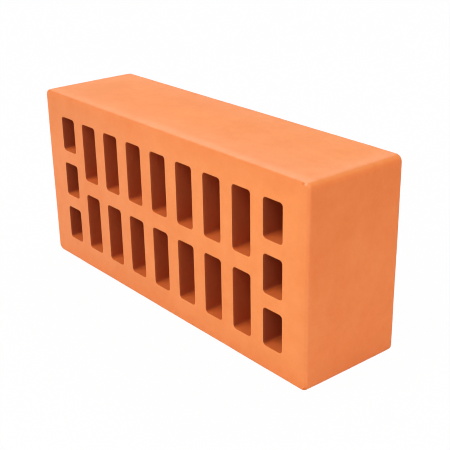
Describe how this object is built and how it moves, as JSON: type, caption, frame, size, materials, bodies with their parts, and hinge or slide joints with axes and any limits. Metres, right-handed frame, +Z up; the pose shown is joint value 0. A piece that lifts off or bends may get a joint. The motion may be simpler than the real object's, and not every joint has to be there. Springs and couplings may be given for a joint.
{
  "type": "perforated clay brick",
  "caption": "Extruded fired clay facing brick with rows of slots running through it from one wire-cut bed face to the other.",
  "frame": {"origin": "middle of the long narrow face that the brick stands on", "axes": "+X along the brick's length, +Y along the slots from one bed face to the other, +Z up across the bed faces"},
  "size_m": [0.25, 0.067, 0.116],
  "materials": {
    "fired_clay": "matte"
  },
  "bodies": {
    "root": {"brick_body": "fired_clay"}
  },
  "joints": []
}
